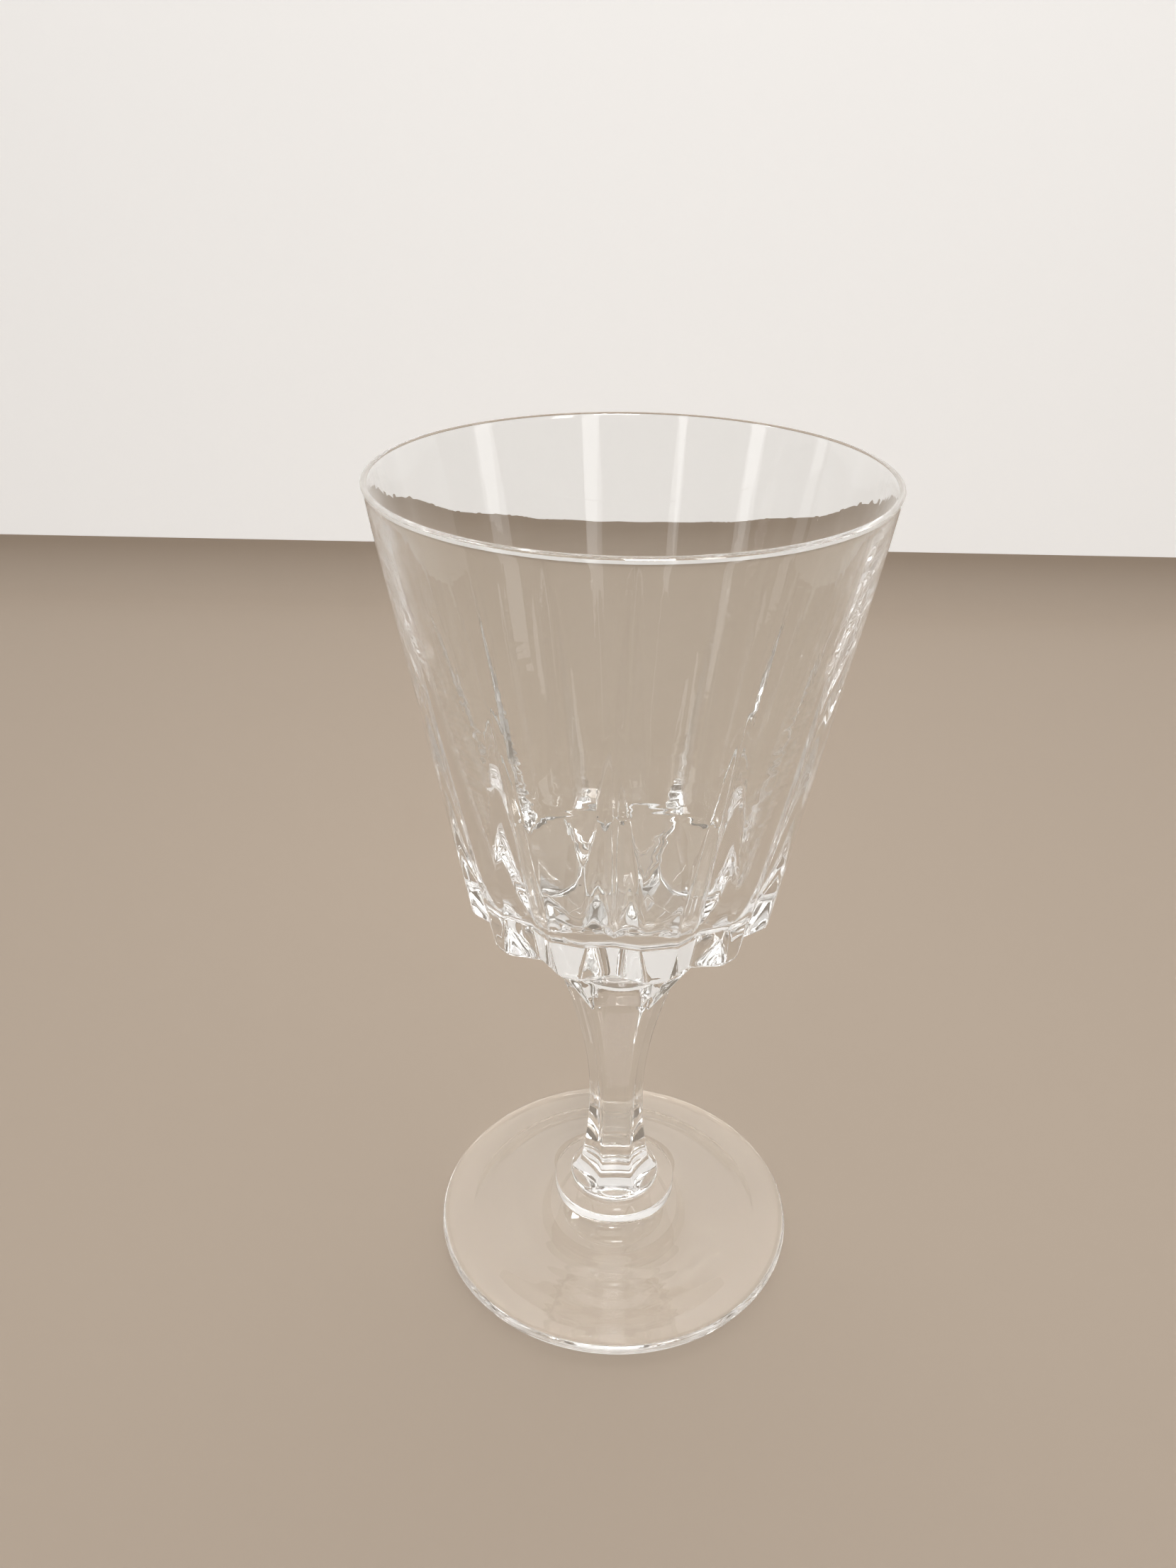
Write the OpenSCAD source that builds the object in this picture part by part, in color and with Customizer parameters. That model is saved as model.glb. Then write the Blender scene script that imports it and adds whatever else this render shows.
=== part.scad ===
// Stemmed wine glass: a fluted conical bowl on a six-sided stem, a wafer collar and a
// round foot, fused hot into one object.
// Millimetres. +Z up, origin at the centre of the ring that the foot rests on.
// The front of the glass faces -Y.

/* [Bowl] */
// Height of the rim above the table
rim_height = 145; // [138:1:155]
// Outer diameter of the rim
rim_d = 76; // [72:1:82]
// Thickness of the glass at the rim
rim_wall = 1; // [0.8:0.1:1.6]
// Height of the sharp edge at the bottom of the bowl
base_height = 73.4; // [72:0.2:75]
// Diameter across the lobes at the bottom of the bowl
base_d = 50; // [49:1:54]
// Thickness of solid glass under the bowl's floor
floor_thickness = 4.8; // [4:0.2:7]
// Diameter of the flat part of the bowl's floor
floor_d = 35; // [30:1:37]
// Thickness of the wall where the floor's bend ends
bend_wall = 4.4; // [4:0.1:5]

/* [Flutes] */
// Number of V-shaped flutes round the bowl
flute_count = 12; // [10:1:14]
// Depth of each flute at the bottom of the bowl
flute_depth = 2.4; // [1.4:0.1:2.6]
// Height at which the flutes fade out
flute_top = 124; // [110:1:132]
// Slope of a flute's two flanks away from the wall, in degrees
flute_flank = 21; // [18:1:28]
// Turn of the flutes about the glass's axis, in degrees
flute_turn = -2.2; // [-15:0.1:15]

/* [Stem] */
// Radius to the stem's corners at its waist
waist_r = 4.9; // [4.6:0.1:5.4]
// Height of the waist
waist_height = 28.6; // [27:0.2:31]
// Radius to the stem's corners at the crease under the bowl
crease_r = 9.6; // [9:0.1:11]
// Height of that crease
crease_height = 56; // [54:0.5:60]
// Radius to the corners of the flare where it meets the bowl
flare_r = 21.8; // [17:0.1:21.8]
// Width of the recessed panel in each side of the flare
panel_w = 8.4; // [6:0.2:9]
// Depth of those panels at the crease
panel_step = 0.45; // [0.2:0.05:0.6]
// Radius of the round pad at the bottom of the stem
pad_r = 8.2; // [7.8:0.1:9]
// Turn of the stem's facets about the glass's axis, in degrees
stem_turn = 2.5; // [-15:0.1:15]

/* [Collar] */
// Diameter of the collar between stem and foot
collar_d = 22.4; // [20:0.2:26]
// Height of the collar's flat top above the table
collar_height = 10.6; // [10:0.1:11]
// Width of the small bevel round the collar's top
collar_bevel = 0.3; // [0.1:0.1:0.6]

/* [Foot] */
// Diameter of the foot
foot_d = 66; // [64:1:72]
// Thickness of the foot's rounded edge
foot_edge = 2.4; // [2:0.1:3]
// Height of the foot's top where the collar stands on it
foot_rise = 8.4; // [7.6:0.1:9]
// Height of the hollow under the middle of the foot
foot_hollow = 3.6; // [2:0.1:4.4]
// Inner diameter of the flat ring that the foot rests on
rest_inner_d = 55; // [50:1:56]
// Outer diameter of that ring
rest_outer_d = 61.2; // [60:0.2:61.4]

/* [Hidden] */
$fn = 96;
glass = [0.86, 0.9, 0.91, 0.55];
curve_steps = 12;
round_steps = 8;

// Bowl: a straight outer wall, and a cavity whose flat floor bends up into a straight wall.
rim_r = rim_d / 2;
base_r = base_d / 2;
wall_slope = (rim_r - base_r) / (rim_height - base_height);
floor_height = base_height + floor_thickness;
bend_height = floor_height + 10.8;
bend_r = base_r + wall_slope * (bend_height - base_height) - bend_wall;
cavity_slope = (rim_r - rim_wall - bend_r) / (rim_height - bend_height);
floor_corner_r = bend_r - cavity_slope * (bend_height - floor_height);
rim_bead_r = rim_wall / 2;

// Flutes: each is a leaning V, cut a little past both of its ends.
flute_run = flute_top - base_height;
flute_foot_r = base_r - flute_depth;
flute_lean = atan((base_r + wall_slope * flute_run - flute_foot_r) / flute_run);
flute_half_w = base_r * sin(180 / flute_count) * 1.6;
flute_overrun = flute_run * 0.2;

// Stem: corner radius and height at the turns of its side, from the pad upwards.
facets = 6;
facet_scale = cos(180 / facets);
pad_height = 1.9;
pad_edge_r = 0.8;
skirt_r = 7.6;
skirt_height = 12.6;
ankle_r = 6.1;
ankle_height = 15.9;
flare_height = base_height;
crease_apothem = crease_r * facet_scale;
flare_apothem = flare_r * facet_scale;
panel_lean = 0.2;
panel_top_apothem = flare_apothem - panel_step - panel_lean * (flare_height - crease_height);

// The flare's panels run into a round cone under the bowl, a little inside the flutes.
cone_rise = 9.8;
cone_r = crease_r + 2.4;
cone_top_r = flute_foot_r - 0.7;

rest_inner_r = rest_inner_d / 2;
collar_r = collar_d / 2;
foot_r = foot_d / 2;
foot_edge_r = foot_edge / 2;

// Point at t on a quadratic curve from a through the pull of b to c, and a run of them.
function bend(a, b, c, t) = a * (1 - t) * (1 - t) + b * 2 * t * (1 - t) + c * t * t;
function bend_points(a, b, c) = [for (i = [0:curve_steps]) bend(a, b, c, i / curve_steps)];
// Points on an arc round centre c, from angle a0 to a1.
function arc_points(c, r, a0, a1) =
    [for (i = [0:round_steps]) let (a = a0 + (a1 - a0) * i / round_steps) c + r * [cos(a), sin(a)]];
function reversed(points) = [for (i = [len(points) - 1:-1:0]) points[i]];

function bowl_profile() = concat(
    [[0, base_height], [base_r, base_height]],
    arc_points([rim_r - rim_bead_r, rim_height - rim_bead_r], rim_bead_r, 0, 180),
    reversed(bend_points([floor_d / 2, floor_height], [floor_corner_r, floor_height],
                         [bend_r, bend_height])),
    [[0, floor_height]]);

module flute_cutter() {
    flank_drop = flute_half_w * tan(flute_flank);
    translate([0, -flute_foot_r, base_height])
        rotate([flute_lean, 0, 0])
            translate([0, 0, -flute_overrun])
                linear_extrude(flute_run + 1.3 * flute_overrun)
                    polygon([[0, 0], [flute_half_w, -flank_drop], [flute_half_w, -flute_half_w],
                             [-flute_half_w, -flute_half_w], [-flute_half_w, -flank_drop]]);
}

module bowl() {
    color(glass)
        difference() {
            rotate_extrude() polygon(bowl_profile());
            for (i = [0:flute_count - 1])
                rotate([0, 0, flute_turn + i * 360 / flute_count]) flute_cutter();
        }
}

function stem_side() = concat(
    [[skirt_r, skirt_height]],
    bend_points([ankle_r, ankle_height], [waist_r + 0.1, waist_height - 6.6],
                [waist_r, waist_height]),
    bend_points([waist_r, waist_height + 1], [waist_r - 0.3, crease_height - 15],
                [crease_r, crease_height]),
    [[flare_r, flare_height]]);

// Outline of the stem seen square to one pair of facets.
function facet_outline() =
    let (side = stem_side())
    concat([for (p = side) [p[0] * facet_scale, p[1]]],
           [for (p = reversed(side)) [-p[0] * facet_scale, p[1]]]);

module stem_facets() {
    intersection_for(i = [0:facets / 2 - 1])
        rotate([0, 0, stem_turn + i * 360 / facets])
            rotate([90, 0, 90])
                linear_extrude(base_d, center = true) polygon(facet_outline());
}

// Round pad at the bottom of the stem, with a rounded edge and a small shoulder.
module stem_pad() {
    rotate_extrude()
        polygon(concat(
            [[0, collar_height]],
            arc_points([pad_r - pad_edge_r, collar_height + pad_edge_r], pad_edge_r, -90, 45),
            [[skirt_r * facet_scale, collar_height + pad_height],
             [ankle_r * facet_scale, skirt_height + pad_edge_r], [0, skirt_height + pad_edge_r]]));
}

// Cuts one panel into the flare, a step deep at the crease and deeper towards the bowl.
module panel_cutter() {
    rotate([90, 0, 90])
        linear_extrude(panel_w, center = true)
            polygon([[-crease_apothem + panel_step, crease_height],
                     [-panel_top_apothem, flare_height], [-flare_r, flare_height],
                     [-flare_r, crease_height]]);
}

module stem() {
    color(glass)
        union() {
            difference() {
                stem_facets();
                for (i = [0:facets - 1])
                    rotate([0, 0, stem_turn + i * 360 / facets]) panel_cutter();
            }
            translate([0, 0, flare_height - cone_rise])
                cylinder(h = cone_rise, r1 = cone_r, r2 = cone_top_r);
            stem_pad();
        }
}

module collar() {
    color(glass)
        rotate_extrude()
            polygon([[0, foot_rise], [collar_r, foot_rise], [collar_r, collar_height - collar_bevel],
                     [collar_r - collar_bevel, collar_height], [0, collar_height]]);
}

module foot() {
    dome = bend_points([collar_r, foot_rise], [foot_r / 2 + 1, foot_edge + 1.1],
                       [foot_r - foot_edge_r, foot_edge]);
    edge = arc_points([foot_r - foot_edge_r, foot_edge_r], foot_edge_r, 90, -60);
    hollow = bend_points([rest_inner_r, 0], [rest_inner_r * 0.62, foot_hollow], [0, foot_hollow]);
    color(glass)
        rotate_extrude()
            polygon(concat([[0, foot_rise]], dome, edge, [[rest_outer_d / 2, 0]], hollow));
}

bowl();
stem();
collar();
foot();
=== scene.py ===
from math import cos, pi, radians, sin, sqrt, tan

import bpy
from mathutils import Matrix, Vector


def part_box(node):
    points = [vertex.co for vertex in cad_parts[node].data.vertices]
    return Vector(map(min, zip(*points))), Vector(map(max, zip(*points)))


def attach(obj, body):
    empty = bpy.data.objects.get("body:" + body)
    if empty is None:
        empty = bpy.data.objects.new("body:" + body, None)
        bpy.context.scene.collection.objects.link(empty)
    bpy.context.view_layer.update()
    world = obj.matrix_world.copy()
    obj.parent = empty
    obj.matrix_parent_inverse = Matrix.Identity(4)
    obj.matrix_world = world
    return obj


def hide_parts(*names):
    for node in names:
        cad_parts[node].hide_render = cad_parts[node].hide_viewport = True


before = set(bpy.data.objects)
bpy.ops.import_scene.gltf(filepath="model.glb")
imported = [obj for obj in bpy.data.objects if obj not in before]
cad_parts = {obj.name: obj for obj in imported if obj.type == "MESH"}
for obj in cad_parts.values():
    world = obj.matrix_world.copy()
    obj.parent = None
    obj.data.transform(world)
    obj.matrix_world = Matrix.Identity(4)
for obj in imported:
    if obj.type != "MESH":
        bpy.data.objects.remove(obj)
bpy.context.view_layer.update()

# ---------------------------------------------------------------------------------------------
# Sizes, in millimetres. The outer ones are read from the CAD nodes' boxes.

MM = 0.001
TURN = 2 * pi

# Radii of the innermost rings, which a cap closes.
CENTRE_R = 0.6
WELD_CENTRE_R = 2


def node_size(node):
    """(bottom, top, outer radius) of a round CAD node."""
    low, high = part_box(node)
    radius = min(high.x, -low.x, high.y, -low.y)
    return low.z / MM, high.z / MM, radius / MM


BASE_Z, RIM_Z, RIM_R = node_size("bowl")
STEM_Z, _, _ = node_size("stem")
COLLAR_Z, COLLAR_TOP_Z, COLLAR_R = node_size("collar")
FLOOR_Z, FOOT_TOP_Z, FOOT_R = node_size("foot")

# Bowl
BASE_R = 25.0
RIM_WALL = 1.0
BASE_EDGE_R = 0.8
CAVITY_FLOOR_Z = BASE_Z + 4.8
CAVITY_FLOOR_R = 17.5
CAVITY_BEND_Z = CAVITY_FLOOR_Z + 10.8
CAVITY_BEND_WALL = 4.4
CAVITY_RIPPLE = 0.03
CAVITY_RIPPLE_FADE = 4
RIM_SMOOTH_BAND = 12
BOWL_WELD_RADII = (WELD_CENTRE_R, 9, 15)
WALL_STEPS = 96

# Flutes
FLUTES = 12
FLUTE_DEPTH = 2.4
FLUTE_TOP_Z = 124.0
FLUTE_FLANK = radians(21)
FLUTE_TURN = radians(-2.2)
FLUTE_SOFTNESS = 0.35
VALLEY_SOFTNESS = 0.015
FLUTE_PITCH = TURN / FLUTES
STREAK_DEPTH = 0.04
STREAK_NARROWNESS = 3
STREAK_TOP_Z = RIM_Z - 2
STREAK_FULL_Z = FLUTE_TOP_Z - 14

# Stem
FACETS = 6
FACET_PITCH = TURN / FACETS
STEM_TURN = radians(2.5)
WAIST_R = 4.9
WAIST_Z = 28.6
CREASE_R = 9.6
CREASE_Z = 56.0
FLARE_R = 21.8
CONE_R = 12.0
CONE_Z = 63.6
CONE_TOP_R = 21.9
CONE_BLEND = 0.6
PANEL_STEP = 0.45
PANEL_LEAN = 0.2
PANEL_FLAT_LOW = 0.95
PANEL_FLAT_HIGH = 0.7
ANKLE_R = 6.1
ANKLE_Z = 15.9
SKIRT_R = 7.7
SKIRT_Z = 12.7
PAD_R = 8.2
PAD_EDGE_R = 0.8
PAD_CONTACT_R = PAD_R - PAD_EDGE_R
RIDGE_SOFT_LOW = 0.1
RIDGE_SOFT_HIGH = 0.15
RIDGE_SOFTENING_Z = (WAIST_Z - 4, WAIST_Z + 8)
FACET_HOLLOW_R = 46.0

# Collar and foot
COLLAR_EDGE_R = 0.3
FOOT_EDGE_R = 1.2
REST_INNER_R = 27.5
REST_OUTER_R = 30.6
HOLLOW_Z = 3.6
RING_HEIGHT = 0.03
RING_SPACING = 3.4
RINGS_RISE_R = (14, 20)
RINGS_FALL_R = (31, 28)


# ---------------------------------------------------------------------------------------------
# Curves

def bend(start, pull, end, t):
    """Point at t on a quadratic curve."""
    return tuple(a * (1 - t) ** 2 + b * 2 * t * (1 - t) + c * t * t
                 for a, b, c in zip(start, pull, end))


def bend_points(start, pull, end, steps):
    return [bend(start, pull, end, i / steps) for i in range(steps + 1)]


def line_points(start, end, steps):
    return [tuple(a + (b - a) * i / steps for a, b in zip(start, end)) for i in range(steps + 1)]


def arc_points(centre, radius, start_deg, end_deg, steps):
    angles = [radians(start_deg + (end_deg - start_deg) * i / steps) for i in range(steps + 1)]
    return [(centre[0] + radius * cos(a), centre[1] + radius * sin(a)) for a in angles]


def smooth_min(a, b, width):
    """The lower of two numbers, rounded off where they cross."""
    overlap = max(width - abs(a - b), 0) / width
    return min(a, b) - overlap * overlap * width / 4


def smooth_step(edge0, edge1, x):
    t = min(max((x - edge0) / (edge1 - edge0), 0), 1)
    return t * t * (3 - 2 * t)


def nearest(angle, pitch):
    """Angle from the nearest of a set of directions that lie a pitch apart."""
    return (angle + pitch / 2) % pitch - pitch / 2


# ---------------------------------------------------------------------------------------------
# Meshes

# Columns of a mesh crowd towards the flutes' valleys and the stem's ridges.
VALLEY_CROWDING = 1.6
COLUMNS_BESIDE_VALLEY = 13
RIDGE_CROWDING = 2.4
COLUMNS_BESIDE_RIDGE = 7
ROUND_COLUMN_COUNT = 256
CRISP_EDGE_DEG = 40


def column_angles(turn, count, crowding, per_side):
    """Angles round the axis, closer together near each of count directions."""
    half = pi / count
    steps = [half * (i / per_side) ** crowding for i in range(per_side)]
    offsets = sorted([-s for s in steps[1:]] + steps + [-half])
    return [turn + k * TURN / count + offset for k in range(count) for offset in offsets]


COLUMNS = sorted({round(a % TURN, 6) for a in
                  column_angles(FLUTE_TURN, FLUTES, VALLEY_CROWDING, COLUMNS_BESIDE_VALLEY)
                  + column_angles(STEM_TURN + FACET_PITCH / 2, FACETS,
                                  RIDGE_CROWDING, COLUMNS_BESIDE_RIDGE)})
ROUND_COLUMNS = [TURN * i / ROUND_COLUMN_COUNT for i in range(ROUND_COLUMN_COUNT)]


def plain_ring(radius, height):
    return lambda angle: (radius, height)


def lathe(name, rings, columns, first_weld, last_weld):
    """Closed mesh from rings, each a function that gives (radius, height) at an angle.

    The first and last rings are capped. Strips of faces below first_weld, and the cap under them,
    take the weld material, and so do the strips from last_weld on, with their cap.
    """
    across = len(columns)
    verts = []
    for ring in rings:
        for angle in columns:
            radius, height = ring(angle)
            verts.append((radius * sin(angle) * MM, -radius * cos(angle) * MM, height * MM))
    faces = []
    slots = []
    for row in range(len(rings) - 1):
        welded = row < first_weld or row >= last_weld
        for i in range(across):
            j = (i + 1) % across
            low, high = row * across, (row + 1) * across
            faces.append((low + i, low + j, high + j, high + i))
            slots.append(int(welded))
    for row, welded in ((0, first_weld > 0), (len(rings) - 1, last_weld < len(rings) - 1)):
        height = sum(verts[row * across + i][2] for i in range(across)) / across
        verts.append((0, 0, height))
        centre = len(verts) - 1
        for i in range(across):
            j = (i + 1) % across
            edge = (row * across + i, row * across + j)
            faces.append((edge[1], edge[0], centre) if row == 0 else (edge[0], edge[1], centre))
            slots.append(int(welded))
    mesh = bpy.data.meshes.new(name)
    mesh.from_pydata(verts, [], faces)
    mesh.polygons.foreach_set("material_index", slots)
    mesh.polygons.foreach_set("use_smooth", [True] * len(faces))
    mesh.validate()
    piece = bpy.data.objects.new(name, mesh)
    bpy.context.scene.collection.objects.link(piece)
    return piece


def sharpen(piece, angle_deg):
    """Keeps an edge crisp where its faces meet at more than the given angle."""
    piece.data.set_sharp_from_angle(angle=radians(angle_deg))


# ---------------------------------------------------------------------------------------------
# Bowl

def wall_radius(height):
    return BASE_R + (RIM_R - BASE_R) * (height - BASE_Z) / (RIM_Z - BASE_Z)


def bowl_radius(angle, height):
    """Outer radius of the bowl: a straight cone with V-shaped flutes that fade out upwards.

    A faint streak runs on from each flute towards the rim.
    """
    wall = wall_radius(height)
    rise = (height - BASE_Z) / (FLUTE_TOP_Z - BASE_Z)
    off = nearest(angle - FLUTE_TURN, FLUTE_PITCH)
    streak = STREAK_DEPTH * smooth_step(STREAK_TOP_Z, STREAK_FULL_Z, height)
    wall -= streak * (0.5 + 0.5 * cos(off * FLUTES)) ** STREAK_NARROWNESS
    depth = FLUTE_DEPTH * (1 - rise)
    if depth <= 0:
        return wall
    flank = sqrt(sin(off) ** 2 + VALLEY_SOFTNESS ** 2)
    flute = (wall - depth) / (cos(off) - flank * tan(FLUTE_FLANK))
    return smooth_min(wall, flute, min(FLUTE_SOFTNESS, depth) + 0.0001)


def hexagon_radius(angle, corner_r, softness=RIDGE_SOFT_LOW):
    """Radius of a six-sided outline with slightly hollow sides.

    Its corners are rounded, and reach out to corner_r.
    """
    width = softness * corner_r
    apothem = (corner_r + width / 4) * cos(pi / FACETS)
    off = nearest(angle - STEM_TURN, FACET_PITCH)
    this_side = apothem / cos(off)
    next_side = apothem / cos(FACET_PITCH - abs(off))
    side = tan(off) / tan(pi / FACETS)
    hollow = corner_r ** 2 / (8 * FACET_HOLLOW_R) * (1 - side * side)
    return smooth_min(this_side, next_side, width) - hollow


def flare_radius(angle, corner_r, height):
    """Above the crease: six panels, recessed between their ridges, that run into a round cone."""
    rise = height - CREASE_Z
    side = abs(tan(nearest(angle - STEM_TURN, FACET_PITCH)) / tan(pi / FACETS))
    flat = PANEL_FLAT_LOW + (PANEL_FLAT_HIGH - PANEL_FLAT_LOW) * min(rise / (CONE_Z - CREASE_Z), 1)
    recess = PANEL_STEP * smooth_step(0, 0.6, rise) + PANEL_LEAN * rise
    panel = hexagon_radius(angle, corner_r, RIDGE_SOFT_HIGH) - recess * smooth_step(1, flat, side)
    cone = CONE_R + (CONE_TOP_R - CONE_R) * (height - CONE_Z) / (BASE_Z - CONE_Z)
    return -smooth_min(-panel, -cone, CONE_BLEND)


def cavity_points():
    """(radius, height) from the middle of the flat floor up to the rim's rounding."""
    bend_r = wall_radius(CAVITY_BEND_Z) - CAVITY_BEND_WALL
    top = (RIM_R - RIM_WALL, RIM_Z - RIM_WALL / 2)
    slope = (top[0] - bend_r) / (top[1] - CAVITY_BEND_Z)
    corner = (bend_r - slope * (CAVITY_BEND_Z - CAVITY_FLOOR_Z), CAVITY_FLOOR_Z)
    floor = line_points((CENTRE_R, CAVITY_FLOOR_Z), (CAVITY_FLOOR_R, CAVITY_FLOOR_Z), 8)
    curve = bend_points((CAVITY_FLOOR_R, CAVITY_FLOOR_Z), corner, (bend_r, CAVITY_BEND_Z), 40)
    wall = line_points((bend_r, CAVITY_BEND_Z), top, 30)
    return floor + curve[1:] + wall[1:]


def bowl_rings():
    def weld_outline(angle):
        return flare_radius(angle, FLARE_R, BASE_Z), BASE_Z

    def underside(share):
        def ring(angle):
            inner, outer = weld_outline(angle)[0], bowl_radius(angle, BASE_Z) - BASE_EDGE_R
            return inner + (outer - inner) * share, BASE_Z
        return ring

    def base_edge(turned):
        inset = BASE_EDGE_R * (1 - sin(turned))
        height = BASE_Z + BASE_EDGE_R * (1 - cos(turned))
        return lambda angle: (bowl_radius(angle, height) - inset, height)

    def outside(height):
        return lambda angle: (bowl_radius(angle, height), height)

    def cavity(radius, height):
        ripple = CAVITY_RIPPLE * smooth_step(CAVITY_BEND_Z - CAVITY_RIPPLE_FADE,
                                             CAVITY_BEND_Z + CAVITY_RIPPLE_FADE, height)
        ripple *= smooth_step(RIM_Z, RIM_Z - RIM_SMOOTH_BAND, height)
        return lambda angle: (radius + ripple * cos((angle - FLUTE_TURN) * FLUTES), height)

    weld = [plain_ring(radius, BASE_Z) for radius in BOWL_WELD_RADII]
    under = [underside(share / 6) for share in range(7)]
    edge = [base_edge(radians(a)) for a in (22.5, 45, 67.5, 90)]
    rim_start = RIM_Z - RIM_WALL / 2
    heights = line_points((BASE_Z + BASE_EDGE_R,), (rim_start,), WALL_STEPS)
    wall = [outside(height) for height, in heights[1:]]
    rim = arc_points((RIM_R - RIM_WALL / 2, rim_start), RIM_WALL / 2, 0, 180, 12)
    inside = [cavity(*point) for point in reversed(cavity_points()[:-1])]
    rings = weld + under + edge + wall + [plain_ring(*p) for p in rim[1:]] + inside
    return rings, len(weld)


# ---------------------------------------------------------------------------------------------
# Stem, collar and foot

def stem_rings():
    """From the round pad, which is fused to the collar, up to the flare under the bowl."""
    def ring(corner_r, height, roundness=0.0):
        def at(angle):
            if height > CREASE_Z:
                return flare_radius(angle, corner_r, height), height
            share = smooth_step(*RIDGE_SOFTENING_Z, height)
            softness = RIDGE_SOFT_LOW + (RIDGE_SOFT_HIGH - RIDGE_SOFT_LOW) * share
            hexagon = hexagon_radius(angle, corner_r, softness)
            return hexagon + (corner_r - hexagon) * roundness, height
        return at

    weld = [plain_ring(radius, STEM_Z) for radius in (WELD_CENTRE_R, 5, PAD_CONTACT_R)]
    pad = arc_points((PAD_CONTACT_R, STEM_Z + PAD_EDGE_R), PAD_EDGE_R, -90, 50, 14)
    shoulder_r, shoulder_z = pad[-1]
    shoulder = [ring(shoulder_r + (SKIRT_R - shoulder_r) * t, shoulder_z + (SKIRT_Z - shoulder_z) * t,
                     1 - smooth_step(0, 1, t)) for t in (0.2, 0.4, 0.6, 0.8, 1)]
    ankle = bend_points((SKIRT_R, SKIRT_Z), (ANKLE_R + 0.2, SKIRT_Z + 1.6), (ANKLE_R, ANKLE_Z), 10)
    shank = bend_points((ANKLE_R, ANKLE_Z), (WAIST_R + 0.1, WAIST_Z - 6.6), (WAIST_R, WAIST_Z), 16)
    trumpet = bend_points((WAIST_R, WAIST_Z + 1), (WAIST_R - 0.3, CREASE_Z - 15),
                          (CREASE_R, CREASE_Z), 36)
    flare = line_points((CREASE_R, CREASE_Z), (FLARE_R, BASE_Z), 70)
    side = ankle[1:] + shank[1:] + trumpet + flare[1:]
    top = [plain_ring(radius, BASE_Z) for radius in reversed(BOWL_WELD_RADII)]
    rings = weld + [plain_ring(*p) for p in pad[1:]] + shoulder + [ring(*p) for p in side]
    return rings + top, len(weld) - 1, len(rings) - 1


def collar_rings():
    edge = COLLAR_EDGE_R
    bottom = [(WELD_CENTRE_R, COLLAR_Z), (COLLAR_R / 2, COLLAR_Z), (COLLAR_R, COLLAR_Z)]
    side = line_points((COLLAR_R, COLLAR_Z), (COLLAR_R, COLLAR_TOP_Z - edge), 6)[1:-1]
    top_edge = arc_points((COLLAR_R - edge, COLLAR_TOP_Z - edge), edge, 0, 90, 8)
    step = line_points((COLLAR_R - edge, COLLAR_TOP_Z), (PAD_CONTACT_R, COLLAR_TOP_Z), 4)[1:]
    top = [(PAD_CONTACT_R / 2, COLLAR_TOP_Z), (WELD_CENTRE_R, COLLAR_TOP_Z)]
    points = bottom + side + top_edge + step + top
    return [plain_ring(*p) for p in points], len(bottom) - 1, len(points) - len(top) - 1


def foot_rings():
    def tooling_ring(radius, height):
        """The dome carries faint concentric rings, which fade towards the collar and the edge."""
        strength = smooth_step(*RINGS_RISE_R, radius) * smooth_step(*RINGS_FALL_R, radius)
        return radius, height + RING_HEIGHT * strength * cos(radius / RING_SPACING * TURN)

    pull = (REST_INNER_R * 0.62, HOLLOW_Z)
    hollow = bend_points((CENTRE_R, HOLLOW_Z), pull, (REST_INNER_R, FLOOR_Z), 36)
    edge = arc_points((FOOT_R - FOOT_EDGE_R, FLOOR_Z + FOOT_EDGE_R), FOOT_EDGE_R, -60, 90, 18)
    pull = (FOOT_R / 2 + 1, edge[-1][1] + 1.1)
    dome = bend_points(edge[-1], pull, (COLLAR_R, FOOT_TOP_Z), 72)
    weld = [(COLLAR_R / 2, FOOT_TOP_Z), (WELD_CENTRE_R, FOOT_TOP_Z)]
    under = hollow + [(REST_OUTER_R, FLOOR_Z)] + edge[:-1]
    points = under + [tooling_ring(*p) for p in dome] + weld
    return [plain_ring(*p) for p in points], len(points) - len(weld) - 1


# ---------------------------------------------------------------------------------------------
# Materials

GLASS_TINT = (0.985, 0.992, 0.99)
GLASS_IOR = 1.52

# As the noise goes through this range, the roughness goes from none to the dullest.
POLISH_NOISE = (0.55, 0.8)
DULLEST_POLISH = 0.03

# Waves per metre along X, Y and Z, and the heights in millimetres where the ripples come and go.
RIPPLE_STRETCH = (110, 110, 520)
RIPPLE_RISE_Z = (92, 106)
RIPPLE_FALL_Z = (110, 130)


def principled(name):
    material = bpy.data.materials.new(name)
    material.use_nodes = True
    return material, material.node_tree, material.node_tree.nodes["Principled BSDF"]


def noise(tree, stretch, detail):
    """Noise in the object's own space; stretch is its waves per metre along X, Y and Z."""
    place = tree.nodes.new("ShaderNodeTexCoord")
    scale = tree.nodes.new("ShaderNodeMapping")
    scale.inputs["Scale"].default_value = stretch
    waves = tree.nodes.new("ShaderNodeTexNoise")
    waves.inputs["Scale"].default_value = 1.0
    waves.inputs["Detail"].default_value = detail
    tree.links.new(place.outputs["Object"], scale.inputs["Vector"])
    tree.links.new(scale.outputs["Vector"], waves.inputs["Vector"])
    return waves.outputs["Fac"]


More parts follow.
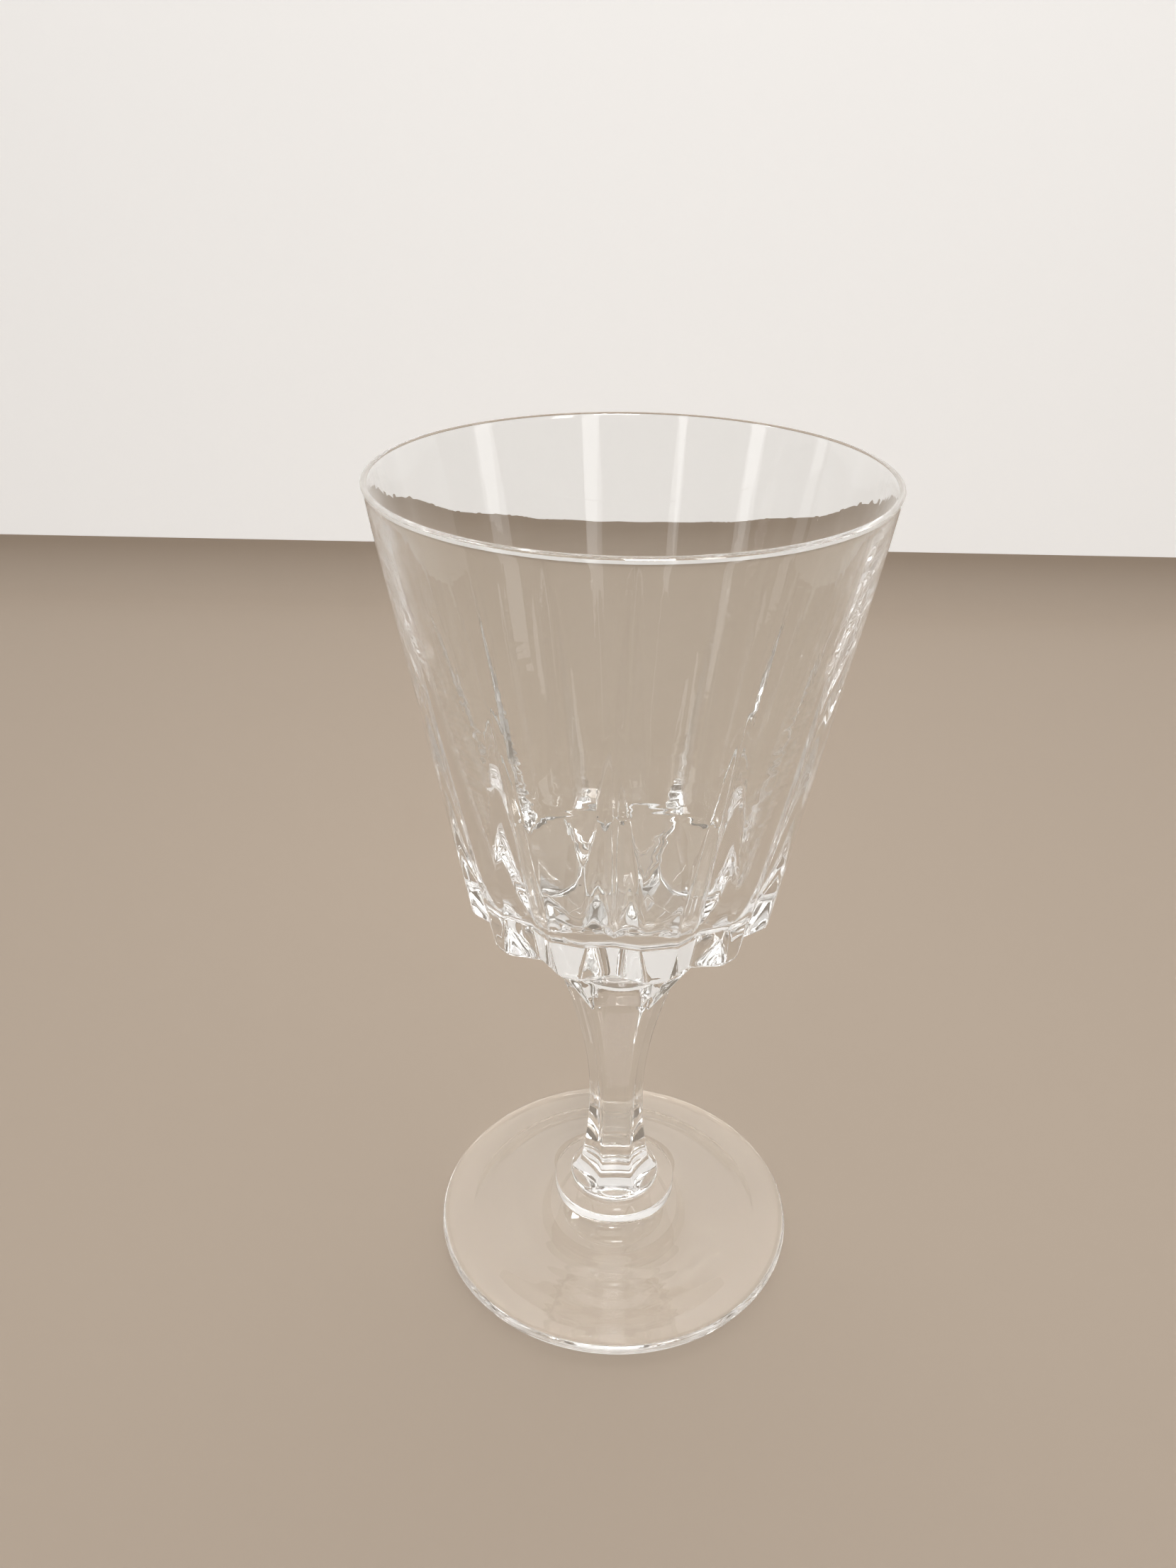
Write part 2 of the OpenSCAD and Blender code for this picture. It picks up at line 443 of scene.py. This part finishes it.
def fade(tree, value, full_z, none_z):
    """The value, faded over height: whole at full_z and gone at none_z, both in millimetres.

    It stays whole on the far side of full_z and gone on the far side of none_z. Either may be
    the higher one.
    """
    place = tree.nodes.new("ShaderNodeTexCoord")
    axes = tree.nodes.new("ShaderNodeSeparateXYZ")
    ramp = tree.nodes.new("ShaderNodeMapRange")
    ramp.inputs["From Min"].default_value = none_z * MM
    ramp.inputs["From Max"].default_value = full_z * MM
    product = tree.nodes.new("ShaderNodeMath")
    product.operation = "MULTIPLY"
    tree.links.new(place.outputs["Object"], axes.inputs["Vector"])
    tree.links.new(axes.outputs["Z"], ramp.inputs["Value"])
    tree.links.new(ramp.outputs["Result"], product.inputs[0])
    tree.links.new(value, product.inputs[1])
    return product.outputs["Value"]


def add_bump(tree, height, depth, below=None):
    """A bump of the given depth in millimetres, on top of the one below it."""
    bump = tree.nodes.new("ShaderNodeBump")
    bump.inputs["Strength"].default_value = 1.0
    bump.inputs["Distance"].default_value = depth * MM
    tree.links.new(height, bump.inputs["Height"])
    if below:
        tree.links.new(below, bump.inputs["Normal"])
    return bump.outputs["Normal"]


def glass(name, wave_stretch, wave_depth, ripple_depth=0.0):
    """Clear pressed glass: its waviness is a bump, and its polish varies slightly.

    With a ripple_depth, a band of the wall also carries fine level ripples.
    """
    material, tree, shader = principled(name)
    shader.inputs["Base Color"].default_value = (*GLASS_TINT, 1)
    shader.inputs["Transmission Weight"].default_value = 1.0
    shader.inputs["IOR"].default_value = GLASS_IOR
    waves = noise(tree, (wave_stretch, wave_stretch, wave_stretch), 1.0)
    normal = add_bump(tree, waves, wave_depth)
    if ripple_depth:
        ripples = fade(tree, noise(tree, RIPPLE_STRETCH, 1.0), *RIPPLE_FALL_Z)
        ripples = fade(tree, ripples, *reversed(RIPPLE_RISE_Z))
        normal = add_bump(tree, ripples, ripple_depth, normal)
    tree.links.new(normal, shader.inputs["Normal"])
    polish = tree.nodes.new("ShaderNodeMapRange")
    polish.inputs["From Min"].default_value, polish.inputs["From Max"].default_value = POLISH_NOISE
    polish.inputs["To Max"].default_value = DULLEST_POLISH
    polish.inputs["To Min"].default_value = 0.0
    tree.links.new(waves, polish.inputs["Value"])
    tree.links.new(polish.outputs["Result"], shader.inputs["Roughness"])
    return material


def weld_material():
    """Where two pieces are fused there is no surface to see."""
    material, _, shader = principled("fused_seam")
    shader.inputs["Alpha"].default_value = 0.0
    return material


def matt(name, colour, glow=0.0):
    material, _, shader = principled(name)
    shader.inputs["Base Color"].default_value = (*colour, 1)
    shader.inputs["Roughness"].default_value = 0.8
    shader.inputs["Emission Color"].default_value = (*colour, 1)
    shader.inputs["Emission Strength"].default_value = glow
    return material


# ---------------------------------------------------------------------------------------------
# The four pieces

WELD = weld_material()


def add_piece(name, node, columns, rings, first_weld, last_weld, material):
    piece = lathe(name, rings, columns, first_weld, last_weld)
    piece.data.materials.append(material)
    piece.data.materials.append(WELD)
    sharpen(piece, CRISP_EDGE_DEG)
    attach(piece, "root")
    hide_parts(node)
    return piece


bowl_loops, bowl_weld = bowl_rings()
add_piece("glass_bowl", "bowl", COLUMNS, bowl_loops, bowl_weld, len(bowl_loops),
          glass("bowl_glass", 60, 0.02, 0.03))
stem_loops, stem_weld, stem_top = stem_rings()
add_piece("glass_stem", "stem", COLUMNS, stem_loops, stem_weld, stem_top,
          glass("stem_glass", 120, 0.02))
collar_loops, collar_weld, collar_top = collar_rings()
add_piece("glass_collar", "collar", ROUND_COLUMNS, collar_loops, collar_weld,
          collar_top, glass("collar_glass", 150, 0.02))
foot_loops, foot_top = foot_rings()
add_piece("glass_foot", "foot", ROUND_COLUMNS, foot_loops, 0, foot_top,
          glass("foot_glass", 60, 0.02))


# ---------------------------------------------------------------------------------------------
# Floor, light and camera, in metres

FLOOR_Y = -2.5
FLOOR_HALF_WIDTH = 2.5
FLOOR_GAP = -0.0002
WALL_Y = 0.345
WALL_HALF_WIDTH = 1.5
WALL_TOP = 1.4
COVE = 0.022
AIM = Vector((0, 0, 0.08))
LIGHT_BOUNCES = 128


def add_stage_sheet(name, half_width, profile, material):
    """A sheet that runs along X, from its (y, z) outline."""
    verts = [(x, y, z) for y, z in profile for x in (-half_width, half_width)]
    faces = [(i, i + 1, i + 3, i + 2) for i in range(0, 2 * len(profile) - 2, 2)]
    mesh = bpy.data.meshes.new(name)
    mesh.from_pydata(verts, [], faces)
    mesh.materials.append(material)
    mesh.polygons.foreach_set("use_smooth", [True] * len(faces))
    sheet = bpy.data.objects.new(name, mesh)
    bpy.context.scene.collection.objects.link(sheet)


def add_light(name, place, size, power, tint):
    light = bpy.data.lights.new(name, "AREA")
    light.shape = "RECTANGLE"
    light.size, light.size_y = size
    light.energy = power
    light.color = tint
    box = bpy.data.objects.new(name, light)
    bpy.context.scene.collection.objects.link(box)
    box.location = place
    box.rotation_euler = (AIM - Vector(place)).to_track_quat("-Z", "Y").to_euler()
    box.visible_camera = False
    return box


def add_fill(name, place, size, power, tint):
    """Lights the floor and the backdrop evenly. Clear glass hardly shades it."""
    box = add_light(name, place, size, power, tint)
    box.data.use_shadow = False
    box.visible_glossy = False
    box.visible_transmission = False


def add_window(name, place, size, power, tint):
    """Shows only as a highlight in the glass."""
    box = add_light(name, place, size, power, tint)
    box.visible_diffuse = False


def add_world(tint, strength):
    world = bpy.data.worlds.new("studio")
    bpy.context.scene.world = world
    world.use_nodes = True
    background = world.node_tree.nodes["Background"]
    background.inputs["Color"].default_value = (*tint, 1)
    background.inputs["Strength"].default_value = strength


def add_camera(place, pitch_deg, yaw_deg, roll_deg, lens):
    camera = bpy.data.objects.new("camera", bpy.data.cameras.new("camera"))
    bpy.context.scene.collection.objects.link(camera)
    camera.data.lens = lens
    camera.data.clip_start = 0.01
    camera.matrix_world = (Matrix.Translation(place)
                           @ Matrix.Rotation(radians(-yaw_deg), 4, "Z")
                           @ Matrix.Rotation(radians(90 - pitch_deg), 4, "X")
                           @ Matrix.Rotation(radians(roll_deg), 4, "Z"))
    bpy.context.scene.camera = camera


cove_points = arc_points((WALL_Y - COVE, FLOOR_GAP + COVE), COVE, -90, 0, 12)
add_stage_sheet("floor", FLOOR_HALF_WIDTH, [(FLOOR_Y, FLOOR_GAP)] + cove_points,
                matt("pale_floor", (0.45, 0.375, 0.305)))
add_stage_sheet("backdrop", WALL_HALF_WIDTH, [cove_points[-1], (WALL_Y, WALL_TOP)],
                matt("white_wall", (0.85, 0.86, 0.87), 0.4))
light_paths = bpy.context.scene.cycles
light_paths.max_bounces = LIGHT_BOUNCES
light_paths.glossy_bounces = LIGHT_BOUNCES
light_paths.transmission_bounces = LIGHT_BOUNCES
light_paths.transparent_max_bounces = 16
bpy.context.scene.view_settings.view_transform = "Standard"
add_world((0.42, 0.36, 0.30), 0.55)
add_fill("fill_above", (0.05, -0.1, 0.9), (0.6, 0.6), 5.2, (1.0, 0.99, 0.97))
add_window("window_front", (0.2, -1.25, 1.15), (0.5, 0.5), 30, (1.0, 1.0, 1.0))
add_window("window_right", (0.9, -1.3, 1.1), (0.3, 0.6), 8, (1.0, 0.98, 0.95))
add_window("window_left", (-1.2, -0.3, 1.2), (0.25, 0.3), 4, (0.94, 0.97, 1.0))
add_window("strip_right", (0.39, -1.03, 0.35), (0.16, 0.8), 0.65, (1.0, 1.0, 1.0))
add_window("strip_left", (-0.45, -1.0, 0.35), (0.08, 0.8), 0.35, (1.0, 1.0, 1.0))
add_window("strip_far_left", (-0.97, -0.52, 0.35), (0.14, 0.8), 0.6, (1.0, 1.0, 1.0))
add_window("strip_side_left", (-1.08, 0.15, 0.35), (0.12, 0.8), 0.28, (1.0, 1.0, 1.0))
add_window("strip_far_right", (1.06, -0.28, 0.35), (0.18, 0.8), 0.7, (1.0, 1.0, 1.0))
add_camera((0.0, -0.1797, 0.1924), 28.55, -1.83, 0.56, 29.37)
